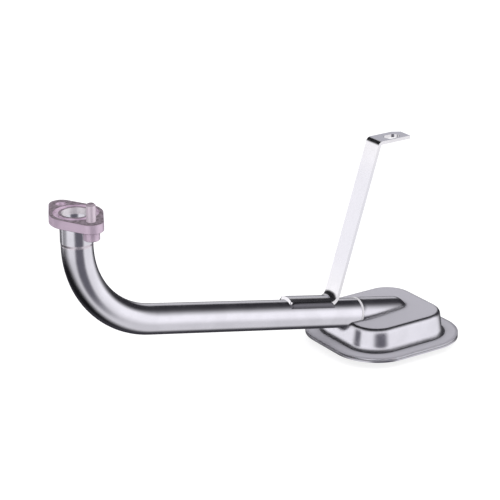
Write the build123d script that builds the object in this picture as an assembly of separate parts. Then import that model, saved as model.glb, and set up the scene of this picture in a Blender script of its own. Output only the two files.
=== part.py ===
from build123d import *
import math
import os

# Engine oil pump intake pipe. A two-lobe flange carries a bent steel tube
# down to a flat strainer, and a sheet bracket welded on the tube holds the
# strainer end up.
# Origin: centre of the port on the flange's sealing face. +Z points out of
# that face, and the tube runs away from it along +X. Millimetres.

# Flange, cast, with one through hole and one pressed dowel
flange_thickness = 6.5
flange_hub_radius = 18.2
flange_lobe_radius = 8.4
flange_lobe_offset = 20.5
flange_edge_chamfer = 0.4
port_radius = 10.0
bolt_hole_radius = 3.5
hole_chamfer = 0.5
groove_inner_radius = 11.7
groove_outer_radius = 15.5
groove_depth = 2.0
tube_stop_depth = 4.7
boss_radius = 5.6
boss_height = 6.4
boss_floor = 1.6

# Locating dowel, with a thicker shank that is pressed in the flange
dowel_radius = 3.25
dowel_shank_radius = 3.5
dowel_projection = 12.3
dowel_tip_chamfer = 1.1
dowel_fit = 0.01

# Tube
tube_radius = 11.0
tube_wall = 1.5
tube_expansion = 0.3
tube_reduction = 0.7
expanded_depth = 20.5
shoulder_length = 1.5
neck_depth = 23.0
bend_radius = 68.0
run_dip = 11.7
run_length = 182.0
tube_insertion = 14.0
braze_gap = 0.05

# Support bracket, one folded strip
strip_thickness = 2.5
strip_width = 15.0
saddle_station = 116.0
saddle_length = 40.3
saddle_bend_radius = 5.0
saddle_corner_radius = 2.0
fold_stations = 6
weld_gap = 0.1
strap_lean = 17.6
strap_length = 120.1
tab_bend_radius = 1.5
tab_length = 28.1
tab_chamfer_long = 6.2
tab_chamfer_wide = 3.6
slot_length = 12.4
slot_width = 8.4
slot_inset = 12.6
slot_offset = 1.6

# Strainer, two drawn sheets with a screen clamped in the seam
strainer_lead = 12.06
crown_rise = 1.03
cover_depth = 17.4
cover_sheet = 1.2
crown_length = 69.8
crown_width = 64.8
crown_corner_radius = 17.0
wall_draft = 8.0
crown_edge_radius = 3.2
wall_foot_radius = 3.4
rim_width = 8.9
hump_length = 36.0
hump_foot_radius = 1.2
base_sheet = 1.2
dish_length = 66.0
dish_width = 61.0
dish_depth = 5.0
dish_draft = 30.0
dish_edge_radius = 2.6
inlet_radius = 21.0
inlet_lip_height = 2.6
inlet_lip_radius = 2.0

# Screen
screen_thickness = 0.5
screen_pitch = 5.0
screen_bar = 1.0
screen_border = 3.0
screen_edge_inset = 0.5

# Derived places
flange_underside = -flange_thickness
boss_underside = flange_underside - boss_height
bend_angle = 90.0 - run_dip
hump_inner_radius = tube_radius - tube_reduction + braze_gap
hump_outer_radius = hump_inner_radius + cover_sheet
saddle_inner_radius = tube_radius + weld_gap
saddle_outer_radius = saddle_inner_radius + strip_thickness
cut_margin = 1.0
level_tolerance = 0.0001
UPWARD = (Align.CENTER, Align.CENTER, Align.MIN)
DOWNWARD = (Align.CENTER, Align.CENTER, Align.MAX)

# Frame of the dipping run: its origin is the end of the bend and its local
# Z points down the run
dip = math.radians(run_dip)
run_origin = Vector(
    bend_radius * (1 - math.sin(dip)),
    0,
    -neck_depth - bend_radius * math.cos(dip),
)
run_direction = Vector(math.cos(dip), 0, -math.sin(dip))
run_up = Vector(math.sin(dip), 0, math.cos(dip))
run_frame = Plane(origin=run_origin, x_dir=(0, 1, 0), z_dir=run_direction)

# The strainer's place, taken from the end of the tube
tube_end = run_origin + run_direction * (run_length + tube_insertion)
strainer_centre_x = tube_end.X + strainer_lead
cover_top_z = tube_end.Z + crown_rise
rim_top_z = cover_top_z - cover_depth
rim_underside_z = rim_top_z - cover_sheet
base_top_z = rim_underside_z - screen_thickness


def at_run(distance):
    """A plane square to the run, this far down it."""
    return run_frame.offset(distance)


def edges_at(shape, height):
    """Edges lying wholly at one height."""
    found = ShapeList()
    for edge in shape.edges():
        box = edge.bounding_box()
        if abs(box.min.Z - height) < level_tolerance and abs(box.max.Z - height) < level_tolerance:
            found.append(edge)
    return found


def flange():
    hub = Circle(flange_hub_radius)
    lobes = [Pos(0, side * flange_lobe_offset) * Circle(flange_lobe_radius) for side in (1, -1)]
    outline = make_hull(hub.edges() + lobes[0].edges() + lobes[1].edges())
    body = extrude(outline, amount=-flange_thickness)
    body = chamfer(edges_at(body, 0) + edges_at(body, flange_underside), flange_edge_chamfer)

    boss_axis = Pos(0, -flange_lobe_offset, boss_underside)
    boss = boss_axis * Cylinder(
        boss_radius, boss_height + flange_thickness / 2, align=UPWARD
    )
    boss = chamfer(edges_at(boss, boss_underside), hole_chamfer)
    body += boss

    body -= Cylinder(port_radius, flange_thickness, align=DOWNWARD)
    seat_radius = tube_radius + tube_expansion + braze_gap
    seat = Pos(0, 0, -tube_stop_depth) * Cylinder(seat_radius, flange_thickness, align=DOWNWARD)
    body -= seat

    ring = Circle(groove_outer_radius) - Circle(groove_inner_radius)
    body -= extrude(ring, amount=-groove_depth)

    bolt_hole = Pos(0, flange_lobe_offset, 0) * Cylinder(bolt_hole_radius, 2 * flange_thickness)
    mouth = Pos(0, flange_lobe_offset, 0) * Cone(
        bolt_hole_radius,
        bolt_hole_radius + hole_chamfer,
        hole_chamfer,
        align=DOWNWARD,
    )
    body -= bolt_hole
    body -= mouth
    dowel_depth = -boss_underside - boss_floor
    dowel_hole = Cylinder(dowel_shank_radius + dowel_fit, dowel_depth, align=DOWNWARD)
    return body - Pos(0, -flange_lobe_offset, 0) * dowel_hole


def dowel():
    dowel_bottom = boss_underside + boss_floor
    pin = chamfer(
        Cylinder(dowel_radius, dowel_projection, align=UPWARD).edges().group_by(Axis.Z)[-1],
        dowel_tip_chamfer,
    )
    shank = chamfer(
        Cylinder(dowel_shank_radius, -dowel_bottom, align=DOWNWARD).edges().group_by(Axis.Z)[0],
        hole_chamfer,
    )
    return Pos(0, -flange_lobe_offset, 0) * (pin + shank)


def pipe_form(radius, overshoot):
    """The tube's outline or its bore: expanded end, bend, run and reduced end."""
    wide = radius + tube_expansion
    narrow = radius - tube_reduction
    start = -tube_stop_depth + overshoot
    end = run_length + tube_insertion + overshoot
    neck_profile = Polyline(
        (0, start),
        (wide, start),
        (wide, -expanded_depth),
        (radius, -expanded_depth - shoulder_length),
        (radius, -neck_depth),
        (0, -neck_depth),
        close=True,
    )
    neck = revolve(Plane.XZ * make_face(neck_profile), Axis.Z)
    neck_end = Plane(origin=(0, 0, -neck_depth), x_dir=(1, 0, 0), z_dir=(0, 0, -1))
    bend_axis = Axis((bend_radius, 0, -neck_depth), (0, -1, 0))
    bend = revolve(neck_end * Circle(radius), bend_axis, revolution_arc=bend_angle)
    straight = run_length - shoulder_length
    run = at_run(0) * Cylinder(radius, straight, align=UPWARD)
    shoulder = at_run(straight) * Cone(radius, narrow, shoulder_length, align=UPWARD)
    tip = at_run(run_length) * Cylinder(narrow, end - run_length, align=UPWARD)
    return neck + bend + run + shoulder + tip


def tube():
    return pipe_form(tube_radius, 0) - pipe_form(tube_radius - tube_wall, cut_margin)


def turned(plane, axis, angle):
    """The plane after a turn about an axis."""
    arm = plane.origin - axis.position
    return Plane(
        origin=axis.position + arm.rotate(axis, angle),
        x_dir=plane.x_dir.rotate(axis, angle),
        z_dir=plane.z_dir.rotate(axis, angle),
    )


def strip_section(plane, curl):
    """The strip's section on a plane whose local X is the strip's width and
    whose local Y points to its outer side. A curl of 1 fits the tube, 0 is flat."""
    half = strip_width / 2
    drop_in = curl * (saddle_inner_radius - math.sqrt(saddle_inner_radius**2 - half**2))
    drop_out = curl * (saddle_outer_radius - math.sqrt(saddle_outer_radius**2 - half**2))
    top = strip_thickness
    if curl > 0:
        lower = ThreePointArc((-half, -drop_in), (0, 0), (half, -drop_in))
        upper = ThreePointArc((half, top - drop_out), (0, top), (-half, top - drop_out))
    else:
        lower = Line((-half, 0), (half, 0))
        upper = Line((half, top), (-half, top))
    sides = [Line(lower @ 1, upper @ 0), Line(upper @ 1, lower @ 0)]
    return plane * make_face([lower, sides[0], upper, sides[1]])


def bracket():
    across = Vector(0, 1, 0)
    crest = run_origin + run_direction * saddle_station + run_up * saddle_inner_radius
    turn = 90 + run_dip - strap_lean
    tab_turn = 90 - strap_lean
    foot_setback = saddle_bend_radius * math.tan(math.radians(turn / 2))
    tab_setback = (tab_bend_radius + strip_thickness) * math.tan(math.radians(tab_turn / 2))

    # Saddle, curled to the tube, with its near corners rounded
    saddle_flat = saddle_length - foot_setback
    saddle_plane = Plane(origin=crest, x_dir=across, z_dir=run_direction)
    saddle = extrude(strip_section(saddle_plane, 1), amount=saddle_flat)
    short_edges = saddle.edges().filter_by(lambda edge: edge.length < saddle_flat / 2)
    short_edges = short_edges.filter_by(GeomType.LINE)
    near_corners = short_edges.sort_by(Axis(crest, run_direction))[:2]
    saddle = fillet(near_corners, saddle_corner_radius)

    # Fold from the curled saddle up into the flat strap
    fold_plane = saddle_plane.offset(saddle_flat)
    pivot = fold_plane.origin + run_up * (strip_thickness + saddle_bend_radius)
    fold_axis = Axis(pivot, (0, -1, 0))
    sections = []
    for step in range(fold_stations):
        share = step / (fold_stations - 1)
        curl = (1 + math.cos(math.pi * share)) / 2
        sections.append(strip_section(turned(fold_plane, fold_axis, turn * share), curl))
    fold = loft(sections)

    # Flat strap, upper fold and tab
    strap_plane = turned(fold_plane, fold_axis, turn)
    strap_flat = strap_length - foot_setback - tab_setback
    strap = extrude(strip_section(strap_plane, 0), amount=strap_flat)
    knee_plane = strap_plane.offset(strap_flat)
    knee_axis = Axis(knee_plane.origin - knee_plane.y_dir * tab_bend_radius, (0, 1, 0))
    knee = revolve(strip_section(knee_plane, 0), knee_axis, revolution_arc=tab_turn)
    tab_plane = turned(knee_plane, knee_axis, tab_turn)
    tab_flat = tab_length - tab_setback
    tab = extrude(strip_section(tab_plane, 0), amount=tab_flat)

    body = saddle + fold + strap + knee + tab
    tip = tab_plane.origin + tab_plane.z_dir * tab_flat
    clipped = Polygon(
        (0, 0),
        (-tab_chamfer_long, 0),
        (0, -tab_chamfer_wide),
        align=None,
    )
    clearance = 2 * strip_thickness
    body -= Pos(tip.X, strip_width / 2, tip.Z) * extrude(clipped, amount=clearance, both=True)
    slot = extrude(SlotOverall(slot_length, slot_width), amount=clearance, both=True)
    return body - Pos(tip.X - slot_inset, -slot_offset, tip.Z) * slot


def drawn_form(length, width, corner_radius, height, draft, edge_radius, foot_radius, inset):
    """A drawn pan standing on a wide sheet, as a solid. Its flat crown measures
    length by width and stands height above the sheet's top face, which is at
    zero. A form with an inset lies that far inside the form without one."""
    spread = wall_spread(height, draft, edge_radius)
    shift = inset / math.cos(math.radians(draft)) - inset * math.tan(math.radians(draft))
    grown = spread - shift
    foot_outline = RectangleRounded(length + 2 * grown, width + 2 * grown, corner_radius + grown)
    walls = extrude(Pos(0, 0, -inset) * foot_outline, amount=height, taper=draft)
    walls = fillet(edges_at(walls, height - inset), edge_radius - inset)
    side = 2 * (length + width)
    sheet = Pos(0, 0, -inset) * Box(side, side, height, align=DOWNWARD)
    form = walls + sheet
    foot = edges_at(form, -inset).filter_by(lambda edge: edge.center().length < side / 3)
    return fillet(foot, foot_radius + inset)


def wall_spread(height, draft, edge_radius):
    """How far a drawn wall's foot stands out from the edge of its flat crown."""
    slope = math.radians(draft)
    return edge_radius * math.tan((math.pi / 2 - slope) / 2) + height * math.tan(slope)


def rim_plate(inset, bottom, thickness):
    """The strainer's rim outline as a plate, with its edge moved in by the inset."""
    foot_setback = wall_foot_radius * math.tan((math.pi / 2 - math.radians(wall_draft)) / 2)
    growth = wall_spread(cover_depth, wall_draft, crown_edge_radius) + foot_setback + rim_width - inset
    outline = RectangleRounded(
        crown_length + 2 * growth,
        crown_width + 2 * growth,
        crown_corner_radius + growth,
    )
    return extrude(Pos(strainer_centre_x, 0, bottom) * outline, amount=thickness)


def hump(radius):
    """The round neck that is drawn in the cover over the tube's end."""
    neck = at_run(run_length) * Cylinder(radius, hump_length, align=UPWARD)
    nose = at_run(run_length + hump_length) * Sphere(radius)
    return neck + nose


def cover():
    seat = Pos(strainer_centre_x, 0, rim_top_z)
    draw = (
        crown_length,
        crown_width,
        crown_corner_radius,
        cover_depth,
        wall_draft,
        crown_edge_radius,
        wall_foot_radius,
    )
    outside = seat * drawn_form(*draw, 0) + hump(hump_outer_radius)
    crown_edges = edges_at(outside, cover_top_z).filter_by(GeomType.LINE, reverse=True)
    hump_foot = crown_edges.filter_by(lambda edge: edge.bounding_box().max.Y < hump_outer_radius + braze_gap)
    outside = fillet(hump_foot, hump_foot_radius)
    inside = seat * drawn_form(*draw, cover_sheet) + hump(hump_inner_radius)
    body = outside & rim_plate(0, rim_underside_z, 2 * cover_depth)
    body -= inside
    passage = at_run(run_length) * Cylinder(tube_radius + braze_gap, run_length / 2, align=DOWNWARD)
    return body - passage


def base():
    draw = (
        dish_length,
        dish_width,
        crown_corner_radius,
        dish_depth,
        dish_draft,
        dish_edge_radius,
        dish_edge_radius,
    )
    underside_z = base_top_z - base_sheet
    upside_down = Pos(strainer_centre_x, 0, underside_z) * Rot(180, 0, 0)
    body = upside_down * (drawn_form(*draw, 0) - drawn_form(*draw, base_sheet))
    body &= rim_plate(0, base_top_z, -2 * dish_depth)

    # Inlet, with its edge turned in and up as a short flared lip
    floor_z = underside_z - dish_depth
    flare = inlet_lip_radius + base_sheet
    mouth_radius = inlet_radius + flare
    flare_z = floor_z + flare
    lip_top_z = flare_z + inlet_lip_height
    quarter = math.sqrt(0.5)
    profile = make_face(
        [
            ThreePointArc(
                (mouth_radius, floor_z),
                (mouth_radius - flare * quarter, flare_z - flare * quarter),
                (inlet_radius, flare_z),
            ),
            Line((inlet_radius, flare_z), (inlet_radius, lip_top_z)),
            Line((inlet_radius, lip_top_z), (inlet_radius + base_sheet, lip_top_z)),
            Line((inlet_radius + base_sheet, lip_top_z), (inlet_radius + base_sheet, flare_z)),
            ThreePointArc(
                (inlet_radius + base_sheet, flare_z),
                (mouth_radius - inlet_lip_radius * quarter, flare_z - inlet_lip_radius * quarter),
                (mouth_radius, floor_z + base_sheet),
            ),
            Line((mouth_radius, floor_z + base_sheet), (mouth_radius, floor_z)),
        ]
    )
    lip = Pos(strainer_centre_x, 0, 0) * revolve(Plane.XZ * profile, Axis.Z)
    body -= Pos(strainer_centre_x, 0, floor_z) * Cylinder(mouth_radius, 2 * base_sheet)
    return body + lip


def screen():
    plate = rim_plate(screen_edge_inset, base_top_z, screen_thickness)
    spread = wall_spread(cover_depth, wall_draft, crown_edge_radius) - screen_border
    half_length = crown_length / 2 + spread
    half_width = crown_width / 2 + spread
    radius = crown_corner_radius + spread
    columns = int(half_length / screen_pitch)
    rows = int(half_width / screen_pitch)
    opening = Rectangle(screen_pitch - screen_bar, screen_pitch - screen_bar)
    reach = (screen_pitch - screen_bar) / 2
    places = []
    for column in range(-columns, columns + 1):
        for row in range(-rows, rows + 1):
            x = column * screen_pitch
            y = row * screen_pitch
            past_x = max(abs(x) + reach - half_length + radius, 0)
            past_y = max(abs(y) + reach - half_width + radius, 0)
            if math.hypot(past_x, past_y) <= radius:
                places.append(Pos(strainer_centre_x + x, y, base_top_z))
    cutters = [extrude(place * opening, amount=screen_thickness) for place in places]
    return plate - cutters


os.makedirs("parts", exist_ok=True)
NODES = {
    "mounting_flange": flange(),
    "locating_dowel": dowel(),
    "suction_tube": tube(),
    "support_bracket": bracket(),
    "strainer_cover": cover(),
    "filter_screen": screen(),
    "strainer_base": base(),
}
for name, shape in NODES.items():
    export_step(shape, f"parts/{name}.step")
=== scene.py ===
import math
import bpy
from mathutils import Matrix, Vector


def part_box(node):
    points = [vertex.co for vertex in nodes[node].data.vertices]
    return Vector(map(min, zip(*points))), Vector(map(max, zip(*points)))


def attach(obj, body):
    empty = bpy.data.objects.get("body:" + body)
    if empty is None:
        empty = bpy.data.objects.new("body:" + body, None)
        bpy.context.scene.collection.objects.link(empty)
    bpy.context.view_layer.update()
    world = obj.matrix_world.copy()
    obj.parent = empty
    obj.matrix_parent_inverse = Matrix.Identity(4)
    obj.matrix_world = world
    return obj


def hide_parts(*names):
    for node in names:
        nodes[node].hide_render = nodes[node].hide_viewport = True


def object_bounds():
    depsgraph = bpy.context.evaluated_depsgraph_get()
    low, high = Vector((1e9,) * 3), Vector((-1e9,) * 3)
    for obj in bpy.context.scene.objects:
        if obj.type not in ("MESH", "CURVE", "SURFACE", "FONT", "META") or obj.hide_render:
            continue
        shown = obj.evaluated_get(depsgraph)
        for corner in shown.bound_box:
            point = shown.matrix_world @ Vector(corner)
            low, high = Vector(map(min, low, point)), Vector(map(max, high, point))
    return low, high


# Looks of an engine oil pump intake pipe. Metres, in the part's own frame.

UP = (0.0, 0.0, 1.0)
WHITE = (1.0, 1.0, 1.0, 1.0)

# Camera, at the photograph's viewing angle
CAMERA_PLACE = Vector((-0.5904, -1.0916, 0.4498))
CAMERA_HEADING = math.radians(33.74)
CAMERA_DIP = math.radians(21.09)
CAMERA_LENS = 142.87
SENSOR = 36.0

# Light and floor
PALE_TINT = (0.975, 0.965, 1.0)
DARK_TINT = (0.92, 0.89, 1.06)
SOFT_LIGHT = 0.85
FLOOR_SIZE = 8.0
FLOOR_GAP = 0.0002
FLOOR_GREY = (0.40, 0.40, 0.40, 1.0)
FLOOR_GLOW = 0.80
LAMP_PLACE = Vector((0.9, -0.9, 1.3))
LAMP_AIM = Vector((0.13, 0.0, -0.1))
LAMP_SIZE = 1.2
LAMP_ENERGY = 6.0

# Metals. A fade is where a mask starts and where it is full
FINE_DETAIL = 4.0
BROAD_SCALE = 60.0
BROAD_DETAIL = 3.0
POLISH_FADE = (0.12, 0.42)
SMOOTHEST = 0.8
ROUGHEST = 1.25
TINT_FADE = (0.35, 0.65)
TINT_LEAST = 0.93
RELIEF_DEPTH = 0.0002
BEVEL_SAMPLES = 8
# The mottle, face, port, upward, level and crease settings place painted shade and painted light
MOTTLE_SCALE = 420.0
MOTTLE_DETAIL = 3.0
MOTTLE_FADE = (0.38, 0.62)
MOTTLE_LEAST = 0.72
FACE_FADE = (-0.0002, -0.0001)
PORT_FADE = (0.0105, 0.0102)
UPWARD_FADE = (0.55, 0.85)
LEVEL_FADE = (0.955, 0.985)
STRAP_BOTTOM = (-0.104, -0.078)
STRAP_TOP = (0.000, -0.022)
SHOULDER_BOTTOM = (-0.0230, -0.0225)
SHOULDER_TOP = (-0.0200, -0.0206)
CREASE_SAMPLES = 12
CREASE_REACH = 0.005
CREASE_FADE = (0.94, 0.66)

# Woven screen
WIRE_RADIUS = 0.000125
WIRE_PITCH = 0.0018
WIRE_SIDES = 4
SCREEN_MARGIN = 0.0001
CREST_MARGIN = 0.00001
CORNER_SHARE = 0.33

# Tube's run, as the frame has it
BEND_RADIUS = 0.068
NECK_DEPTH = 0.023
RUN_DIP = math.radians(11.7)
RUN_LENGTH = 0.182
TUBE_RADIUS = 0.011
EXPANDED_RADIUS = 0.0113
FLANGE_UNDERSIDE = -0.0065
FLANGE_SEAT_RADIUS = 0.01135

# Hump's mouth and bracket's saddle on the run
HUMP_RADIUS = 0.01165
SADDLE_START = 0.116
SADDLE_END = 0.1518
SADDLE_RADIUS = 0.0136
SADDLE_HALF_WIDTH = 0.0075

# Braze and weld
SHARP_ANGLE = math.radians(50)
BRAZE_LEG = 0.0013
BRAZE_SINK = 0.0001
BRAZE_SEGMENTS = 96
BRAZE_STEPS = 6
WELD_ANGLE = math.radians(50)
WELD_OVERLAP = 0.05
WELD_PROUD = 0.00006
WELD_SINK = 0.0002
WELD_HOLLOW = 2.4
WELD_LEAST = 0.12
WELD_TAPER = 0.0018
WELD_RUNOUT = 0.004
WELD_STEPS = 10
WELD_FOOT = (1.0, 0.5, 0.0)
QUARTERS = (0.25, 0.5, 0.75, 1.0)

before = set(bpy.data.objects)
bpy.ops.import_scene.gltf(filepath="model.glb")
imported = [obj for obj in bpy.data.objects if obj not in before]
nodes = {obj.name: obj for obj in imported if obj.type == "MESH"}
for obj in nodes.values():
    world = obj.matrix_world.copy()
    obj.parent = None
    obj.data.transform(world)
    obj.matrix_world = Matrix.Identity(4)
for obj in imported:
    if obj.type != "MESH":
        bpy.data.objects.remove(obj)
cad_low, cad_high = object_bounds()


# Small helpers for node trees
def node(tree, kind, **settings):
    made = tree.nodes.new(kind)
    for name, value in settings.items():
        setattr(made, name, value)
    return made


def feed(tree, socket, value):
    """Connects a socket to another, or sets its value."""
    if isinstance(value, bpy.types.NodeSocket):
        tree.links.new(value, socket)
    else:
        socket.default_value = value


def maths(tree, operation, *values):
    made = node(tree, "ShaderNodeMath", operation=operation)
    for socket, value in zip(made.inputs, values):
        feed(tree, socket, value)
    return made.outputs[0]


def along(tree, vector, direction):
    """How far a vector points along a direction."""
    made = node(tree, "ShaderNodeVectorMath", operation="DOT_PRODUCT")
    feed(tree, made.inputs[0], vector)
    made.inputs[1].default_value = direction
    return made.outputs["Value"]


def fade(tree, value, start, end, low=0.0, high=1.0):
    """Goes smoothly from low to high as the value goes from start to end."""
    made = node(tree, "ShaderNodeMapRange", interpolation_type="SMOOTHSTEP")
    feed(tree, made.inputs["Value"], value)
    made.inputs["From Min"].default_value = start
    made.inputs["From Max"].default_value = end
    made.inputs["To Min"].default_value = low
    made.inputs["To Max"].default_value = high
    return made.outputs["Result"]


def blended(tree, share, first, second, kind="RGBA"):
    """A colour between two colours, or a number between two numbers where the kind is FLOAT."""
    made = node(tree, "ShaderNodeMix", data_type=kind)
    feed(tree, made.inputs["Factor"], share)
    feed(tree, made.inputs["A"], first)
    feed(tree, made.inputs["B"], second)
    return made.outputs["Result"]


def mixed(tree, share, first, second):
    """A shader between two shaders."""
    made = node(tree, "ShaderNodeMixShader")
    for socket, value in zip(made.inputs, (share, first, second)):
        feed(tree, socket, value)
    return made.outputs[0]


def lit(tree, kind, color, strength=1.0):
    """A background or an emission."""
    made = node(tree, kind)
    feed(tree, made.inputs["Color"], color)
    made.inputs["Strength"].default_value = strength
    return made.outputs[0]


def noise(tree, scale, detail):
    """Noise that stays put on the part."""
    made = node(tree, "ShaderNodeTexNoise")
    feed(tree, made.inputs["Vector"], node(tree, "ShaderNodeTexCoord").outputs["Object"])
    made.inputs["Scale"].default_value = scale
    made.inputs["Detail"].default_value = detail
    return made.outputs["Fac"]


def opaque(color, level=1.0):
    """A colour at this level, with full alpha."""
    return tuple(level * share for share in color) + (1.0,)


def pale(level):
    return opaque(PALE_TINT, level)


def dark(level):
    return opaque(DARK_TINT, level)


def bearing(turn, rise):
    """A direction, turned from the camera's side towards its right and raised above the floor."""
    turn, rise = math.radians(turn), math.radians(rise)
    towards = Vector((-math.sin(CAMERA_HEADING), -math.cos(CAMERA_HEADING), 0.0))
    right = Vector((math.cos(CAMERA_HEADING), -math.sin(CAMERA_HEADING), 0.0))
    level = math.cos(rise) * (math.cos(turn) * towards + math.sin(turn) * right)
    return (level.x, level.y, math.sin(rise))


# What the metals mirror: a white tent over greyer ground, with round patches and a dark ceiling.
# A patch is its turn, its rise, its soft edge and its core in degrees, and its colour. Each lies
# over the ones before it
TENT = pale(1.02)
GROUND = pale(0.68)
GROUND_FADE = (0.0, -0.62)
LOW_PATCHES = (
    (20, -23, 37, 17, dark(0.14)),
    (-120, -56, 59, 25, dark(0.010)),
    (175, -40, 52, 26, dark(0.05)),
    (-109, -8, 17, 8, TENT),
    (-76, -4, 19, 10, dark(0.13)),
)
CEILING = dark(0.026)
CEILING_FADE = (0.26, 0.82)
HIGH_PATCHES = (
    (150, 22, 54, 19, dark(0.028)),
    (-140, 42, 50, 26, dark(0.010)),
    (181, 20, 24, 11, pale(0.58)),
)


def make_world():
    """The camera sees white, mirrors see the tent, and matt surfaces get an even light."""
    world = bpy.data.worlds.new("studio")
    bpy.context.scene.world = world
    world.use_nodes = True
    tree = world.node_tree
    tree.nodes.clear()
    direction = node(tree, "ShaderNodeTexCoord").outputs["Generated"]
    up = along(tree, direction, UP)

    def patched(tent, patches):
        for turn, rise, edge, core, color in patches:
            near = along(tree, direction, bearing(turn, rise))
            start, end = math.cos(math.radians(edge)), math.cos(math.radians(core))
            tent = blended(tree, fade(tree, near, start, end), tent, color)
        return tent

    tent = blended(tree, fade(tree, up, *GROUND_FADE), TENT, GROUND)
    tent = patched(tent, LOW_PATCHES)
    tent = blended(tree, fade(tree, up, *CEILING_FADE), tent, CEILING)
    tent = patched(tent, HIGH_PATCHES)

    path = node(tree, "ShaderNodeLightPath").outputs
    seen = lit(tree, "ShaderNodeBackground", WHITE)
    mirrored = lit(tree, "ShaderNodeBackground", tent)
    soft = lit(tree, "ShaderNodeBackground", pale(1.0), SOFT_LIGHT)
    light = mixed(tree, path["Is Glossy Ray"], soft, mirrored)
    clear = maths(tree, "MAXIMUM", path["Is Camera Ray"], path["Is Transmission Ray"])
    output = node(tree, "ShaderNodeOutputWorld")
    feed(tree, output.inputs["Surface"], mixed(tree, clear, light, seen))


def make_floor():
    """A floor that looks white and keeps a shadow."""
    height = cad_low[2] - FLOOR_GAP
    bpy.ops.mesh.primitive_plane_add(size=FLOOR_SIZE, location=(0.0, 0.0, height))
    floor = bpy.context.object
    floor.name = "floor"
    floor.visible_glossy = False
    material = bpy.data.materials.new("pale_floor")
    material.use_nodes = True
    tree = material.node_tree
    tree.nodes.clear()
    matte = node(tree, "ShaderNodeBsdfDiffuse")
    matte.inputs["Color"].default_value = FLOOR_GREY
    path = node(tree, "ShaderNodeLightPath").outputs
    none = lit(tree, "ShaderNodeEmission", WHITE, 0.0)
    bright = lit(tree, "ShaderNodeEmission", WHITE, FLOOR_GLOW)
    total = node(tree, "ShaderNodeAddShader")
    feed(tree, total.inputs[0], matte.outputs[0])
    feed(tree, total.inputs[1], mixed(tree, path["Is Camera Ray"], none, bright))
    output = node(tree, "ShaderNodeOutputMaterial")
    feed(tree, output.inputs["Surface"], total.outputs[0])
    floor.data.materials.append(material)


def add_object(name, data):
    made = bpy.data.objects.new(name, data)
    bpy.context.scene.collection.objects.link(made)
    return made


def aim(thing, look):
    """Turns a camera or a lamp to look this way."""
    thing.rotation_euler = look.to_track_quat("-Z", "Y").to_euler()


def make_camera():
    data = bpy.data.cameras.new("camera")
    data.lens = CAMERA_LENS
    data.sensor_width = SENSOR
    data.sensor_height = SENSOR
    camera = add_object("camera", data)
    camera.location = CAMERA_PLACE
    ahead = math.cos(CAMERA_DIP)
    look_x, look_y = math.sin(CAMERA_HEADING) * ahead, math.cos(CAMERA_HEADING) * ahead
    aim(camera, Vector((look_x, look_y, -math.sin(CAMERA_DIP))))
    bpy.context.scene.camera = camera


def make_lamp():
    data = bpy.data.lights.new("soft_lamp", "AREA")
    data.shape = "DISK"
    data.size = LAMP_SIZE
    data.energy = LAMP_ENERGY
    lamp = add_object("soft_lamp", data)
    lamp.location = LAMP_PLACE
    aim(lamp, LAMP_AIM - LAMP_PLACE)
    lamp.visible_glossy = False


def metal(name, color, roughness, grain, bump, metallic=1.0, areas=(), edge_radius=0.0):
    """A metal with uneven polish and fine relief.

    An area is a mask, its colour, and its metallic value, or None where that stays. The edge
    radius softens the shading over the solid's own edges.
    """
    material = bpy.data.materials.new(name)
    material.use_nodes = True
    tree = material.node_tree
    shader = tree.nodes["Principled BSDF"]
    fine = noise(tree, grain, FINE_DETAIL)
    broad = noise(tree, BROAD_SCALE, BROAD_DETAIL)
    uneven = maths(tree, "MULTIPLY", fine, broad)
    rough = fade(tree, uneven, *POLISH_FADE, roughness * SMOOTHEST, roughness * ROUGHEST)
    feed(tree, shader.inputs["Roughness"], rough)
    darker = opaque(color, TINT_LEAST)
    tint = blended(tree, fade(tree, broad, *TINT_FADE), darker, opaque(color))
    shine = metallic
    for mask, other, other_shine in areas:
        share = mask(tree)
        tint = blended(tree, share, tint, opaque(other))
        if other_shine is not None:
            shine = blended(tree, share, shine, other_shine, "FLOAT")
    feed(tree, shader.inputs["Base Color"], tint)
    feed(tree, shader.inputs["Metallic"], shine)
    relief = node(tree, "ShaderNodeBump")
    relief.inputs["Strength"].default_value = bump
    relief.inputs["Distance"].default_value = RELIEF_DEPTH
    feed(tree, relief.inputs["Height"], fine)
    feed(tree, shader.inputs["Normal"], relief.outputs["Normal"])
    if edge_radius:
        soft_edge = node(tree, "ShaderNodeBevel", samples=BEVEL_SAMPLES)
        soft_edge.inputs["Radius"].default_value = edge_radius
        feed(tree, relief.inputs["Normal"], soft_edge.outputs["Normal"])
    return material


# Masks: each gives the share of an area's look at a point
def surface(tree, kind):
    """The place or the normal at a point."""
    return node(tree, "ShaderNodeNewGeometry").outputs[kind]


def height_of(tree):
    return along(tree, surface(tree, "Position"), UP)


def in_band(tree, bottom, top):
    """A band of height that fades in at its bottom and at its top."""
    height = height_of(tree)
    return maths(tree, "MULTIPLY", fade(tree, height, *bottom), fade(tree, height, *top))


def sealing_face_painted_shade(tree):
    """The face on top, darkened in mottled patches: painted shade."""
    mottle = fade(tree, noise(tree, MOTTLE_SCALE, MOTTLE_DETAIL), *MOTTLE_FADE, MOTTLE_LEAST, 1.0)
    return maths(tree, "MULTIPLY", mottle, fade(tree, height_of(tree), *FACE_FADE))


def port_painted_light(tree):
    """The machined bore, made lighter: painted light."""
    flat = node(tree, "ShaderNodeVectorMath", operation="MULTIPLY")
    feed(tree, flat.inputs[0], surface(tree, "Position"))
    flat.inputs[1].default_value = (1.0, 1.0, 0.0)
    distance = node(tree, "ShaderNodeVectorMath", operation="LENGTH")
    feed(tree, distance.inputs[0], flat.outputs[0])
    inside = fade(tree, distance.outputs["Value"], *PORT_FADE)
    return maths(tree, "MULTIPLY", inside, fade(tree, height_of(tree), *reversed(FACE_FADE)))


# Faces that look up. The dowel's top takes a dark colour there: painted shade.
def upward_painted_shade(tree):
    return fade(tree, along(tree, surface(tree, "Normal"), UP), *UPWARD_FADE)


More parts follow.
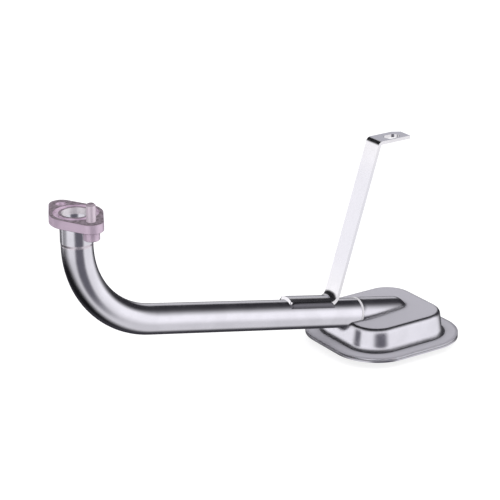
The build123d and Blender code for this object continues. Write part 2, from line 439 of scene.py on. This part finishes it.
def level_painted_shade(tree):
    """Level faces, looking up or down, left matt by the press and darkened: painted shade."""
    upright = maths(tree, "ABSOLUTE", along(tree, surface(tree, "Normal"), UP))
    return fade(tree, upright, *LEVEL_FADE)


def on_strap(tree):
    """The strap between its two bends."""
    return in_band(tree, STRAP_BOTTOM, STRAP_TOP)


def on_shoulder(tree):
    """Where the tube narrows under the flange: pinker and a little less metallic."""
    return in_band(tree, SHOULDER_BOTTOM, SHOULDER_TOP)


def crease_painted_shade(tree):
    """Narrow inside corners and places close under other parts, darkened by ambient occlusion:
    painted shade.
    """
    near = node(tree, "ShaderNodeAmbientOcclusion", samples=CREASE_SAMPLES)
    near.inputs["Distance"].default_value = CREASE_REACH
    return fade(tree, near.outputs["AO"], *CREASE_FADE)


def dress(name, material):
    """Gives a CAD node its metal. The pieces don't mirror one another."""
    shown = nodes[name]
    shown.data.materials.clear()
    shown.data.materials.append(material)
    shown.visible_glossy = False


make_world()
make_floor()
make_camera()
make_lamp()

tube_metal = metal(
    "bright_tube",
    color=(0.91, 0.90, 0.95),
    roughness=0.17,
    grain=900.0,
    bump=0.03,
    areas=[(on_shoulder, (0.93, 0.86, 0.92), 0.8)],
)
# The cover's level faces and creases get a darker colour: painted shade.
cover_metal = metal(
    "bright_sheet",
    color=(0.86, 0.85, 0.90),
    roughness=0.20,
    grain=700.0,
    bump=0.05,
    # The darkened creases here are painted shade.
    areas=[(level_painted_shade, (0.56, 0.55, 0.60), 0.3), (crease_painted_shade, (0.14, 0.135, 0.16), None)],
    edge_radius=0.0045,
)
# The base's level faces get a darker colour: painted shade.
base_metal = metal(
    "plain_sheet",
    color=(0.78, 0.77, 0.82),
    roughness=0.18,
    grain=700.0,
    bump=0.06,
    areas=[(level_painted_shade, (0.50, 0.49, 0.54), 0.3)],
)
# The strap's level faces get a darker colour: painted shade.
strap_metal = metal(
    "plated_strap",
    color=(1.0, 0.99, 1.0),
    roughness=0.16,
    grain=800.0,
    bump=0.03,
    areas=[(on_strap, (0.97, 0.965, 1.0), 0.72), (level_painted_shade, (0.54, 0.54, 0.60), 0.5)],
)
# The flange's dark, mottled top face is painted shade.
flange_metal = metal(
    "cast_mauve",
    color=(0.89, 0.71, 0.86),
    roughness=0.40,
    grain=1400.0,
    bump=0.25,
    metallic=0.45,
    # The lighter bore is painted light.
    areas=[(sealing_face_painted_shade, (0.20, 0.15, 0.18), None), (port_painted_light, (1.0, 0.95, 0.98), 0.4)],
)
# The dowel's dark top is painted shade.
dowel_metal = metal(
    "ground_dowel",
    color=(1.0, 0.86, 0.96),
    roughness=0.36,
    grain=1200.0,
    bump=0.08,
    metallic=0.3,
    areas=[(upward_painted_shade, (0.24, 0.18, 0.22), None)],
)
braze_metal = metal(
    "bright_braze", color=(1.0, 0.99, 1.0), roughness=0.40, grain=1800.0, bump=0.10, metallic=0.2
)
# The weld beads are dark partly in their own tone and partly as painted shade along the saddle's
# edges.
weld_and_painted_shade_metal = metal(
    "dark_weld_and_painted_shade", color=(0.17, 0.165, 0.185), roughness=0.30, grain=1500.0, bump=0.30
)
wire_metal = metal(
    "screen_wire", color=(0.62, 0.62, 0.66), roughness=0.30, grain=1500.0, bump=0.05
)

dress("suction_tube", tube_metal)
dress("strainer_cover", cover_metal)
dress("strainer_base", base_metal)
dress("support_bracket", strap_metal)
dress("mounting_flange", flange_metal)
dress("locating_dowel", dowel_metal)


# Meshes
def skin(rows, count, first=0, ring=False):
    """Faces round rows of this many points, closed to a ring or with a face at each end."""
    faces = []
    for row in range(rows if ring else rows - 1):
        here = first + row * count
        after = first + (row + 1) % rows * count
        for step in range(count):
            beyond = (step + 1) % count
            faces.append((here + step, here + beyond, after + beyond, after + step))
    if not ring:
        last = first + (rows - 1) * count
        faces.append(tuple(range(first + count - 1, first - 1, -1)))
        faces.append(tuple(range(last, last + count)))
    return faces


def add_piece(name, vertices, faces, material):
    mesh = bpy.data.meshes.new(name)
    mesh.from_pydata([tuple(point) for point in vertices], [], faces)
    mesh.update()
    mesh.materials.append(material)
    piece = add_object(name, mesh)
    piece.visible_glossy = False
    return piece


# Woven screen, plain weave, its edge held in the rim's seam
def half_span(offset, half_length, half_width, radius):
    """Half the length of a wire at this offset from the middle of a rounded rectangle."""
    past = abs(offset) - (half_width - radius)
    if past <= 0:
        return half_length
    return half_length - radius + math.sqrt(max(radius**2 - past**2, 0.0))


def add_wire(vertices, faces, reach, place):
    """One square wire, as far as reach each way. place(distance, across, rise) gives its points."""
    steps = max(round(2 * reach / (WIRE_PITCH / 2)), 2)
    first = len(vertices)
    for index in range(steps + 1):
        distance = -reach + 2 * reach * index / steps
        for side in range(WIRE_SIDES):
            angle = math.pi / 4 + side * 2 * math.pi / WIRE_SIDES
            across, rise = WIRE_RADIUS * math.cos(angle), WIRE_RADIUS * math.sin(angle)
            vertices.append(place(distance, across, rise))
    faces += skin(steps + 1, WIRE_SIDES, first)


def make_screen():
    low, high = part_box("filter_screen")
    middle = (low + high) / 2
    half_length = (high.x - low.x) / 2 - SCREEN_MARGIN
    half_width = (high.y - low.y) / 2 - SCREEN_MARGIN
    radius = CORNER_SHARE * (high.x - low.x)
    crest = (high.z - low.z) / 2 - WIRE_RADIUS - CREST_MARGIN
    vertices = []
    faces = []
    for lengthwise, half_ahead, half_across in (
        (True, half_length, half_width),
        (False, half_width, half_length),
    ):
        count = int((half_across - WIRE_PITCH / 2) / WIRE_PITCH)
        for row in range(-count, count + 1):
            offset = row * WIRE_PITCH
            phase = math.pi * row + (0.0 if lengthwise else math.pi)

            def place(distance, across, rise):
                """A point of the wire, which weaves over and under."""
                weave = crest * math.cos(math.pi * distance / WIRE_PITCH + phase)
                ahead, aside = distance, offset + across
                x, y = (ahead, aside) if lengthwise else (aside, ahead)
                return (middle.x + x, middle.y + y, middle.z + weave + rise)

            add_wire(vertices, faces, half_span(offset, half_ahead, half_across, radius), place)
    gauze = add_piece("gauze", vertices, faces, wire_metal)
    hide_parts("filter_screen")
    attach(gauze, "root")


make_screen()


# Braze and weld at the joints
def finish_piece(name, vertices, faces, material):
    piece = add_piece(name, vertices, faces, material)
    piece.data.shade_smooth()
    piece.data.set_sharp_from_angle(angle=SHARP_ANGLE)
    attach(piece, "root")


def on_run(station, turn, radius):
    """A point beside the run, this far down it and turned from its top towards +Y."""
    ahead = Vector((math.cos(RUN_DIP), 0.0, -math.sin(RUN_DIP)))
    top = Vector((math.sin(RUN_DIP), 0.0, math.cos(RUN_DIP)))
    side = Vector((0.0, 1.0, 0.0))
    start_x = BEND_RADIUS * (1 - math.sin(RUN_DIP))
    start_z = -NECK_DEPTH - BEND_RADIUS * math.cos(RUN_DIP)
    middle = Vector((start_x, 0.0, start_z)) + ahead * station
    return middle + radius * (math.cos(turn) * top + math.sin(turn) * side)


def by_hump(turn, radius, rise):
    """A point round the run, this far before the hump's mouth."""
    return on_run(RUN_LENGTH - rise, turn, radius)


def by_flange(turn, radius, rise):
    """A point round the neck, this far under the flange."""
    return Vector((radius * math.cos(turn), radius * math.sin(turn), FLANGE_UNDERSIDE - rise))


def braze_ring(name, place, inner, outer, hollow):
    """A ring of braze, hollow or full in section. place(turn, radius, rise) gives its points."""
    profile = []
    for step in range(BRAZE_STEPS + 1):
        angle = math.pi / 2 * step / BRAZE_STEPS
        across, down = 1 - math.cos(angle), math.sin(angle)
        if hollow:
            across, down = down, across
        profile.append((outer - (outer - inner) * across, BRAZE_LEG * down))
    profile += [(inner - BRAZE_SINK, BRAZE_LEG), (inner - BRAZE_SINK, 0.0)]
    vertices = []
    for index in range(BRAZE_SEGMENTS):
        turn = 2 * math.pi * index / BRAZE_SEGMENTS
        vertices += [place(turn, radius, rise) for radius, rise in profile]
    faces = skin(BRAZE_SEGMENTS, len(profile), ring=True)
    finish_piece(name, vertices, faces, braze_metal)


def weld_stations():
    """Places down the run, each with the share of the bead's height that it has there."""
    stations = [(SADDLE_START, 0.0)]
    for share in QUARTERS:
        stations.append((SADDLE_START + WELD_TAPER * share, math.sin(math.pi / 2 * share)))
    for share in QUARTERS:
        stations.append((SADDLE_START + (SADDLE_END - SADDLE_START) * share, 1.0))
    for share in QUARTERS:
        stations.append((SADDLE_END + WELD_RUNOUT * share, math.cos(math.pi / 2 * share)))
    return stations


def saddle_weld(name, side):
    """A bead that runs from the saddle's edge out onto the tube, on the side of +Y or -Y."""
    start_turn = math.asin(SADDLE_HALF_WIDTH / SADDLE_RADIUS) - WELD_OVERLAP
    height = SADDLE_RADIUS - TUBE_RADIUS + WELD_PROUD
    stations = weld_stations()
    vertices = []
    for station, size in stations:
        profile = []
        for step in range(WELD_STEPS + 1):
            share = step / WELD_STEPS
            hollow = 1 - share**WELD_HOLLOW
            profile.append((share, height * hollow * (WELD_LEAST + (1 - WELD_LEAST) * size)))
        profile += [(share, -WELD_SINK) for share in WELD_FOOT]
        for share, rise in profile:
            turn = start_turn + (WELD_ANGLE - start_turn) * share
            vertices.append(on_run(station, side * turn, TUBE_RADIUS + rise))
    faces = skin(len(stations), WELD_STEPS + 1 + len(WELD_FOOT))
    if side < 0:
        faces = [face[::-1] for face in faces]
    finish_piece(name, vertices, faces, weld_and_painted_shade_metal)


saddle_weld("saddle_weld_near", -1)
saddle_weld("saddle_weld_far", 1)
braze_ring("hump_braze", by_hump, TUBE_RADIUS, HUMP_RADIUS, False)
braze_ring(
    "flange_braze",
    by_flange,
    EXPANDED_RADIUS,
    FLANGE_SEAT_RADIUS + BRAZE_LEG,
    True,
)

bpy.context.scene.view_settings.view_transform = "Standard"
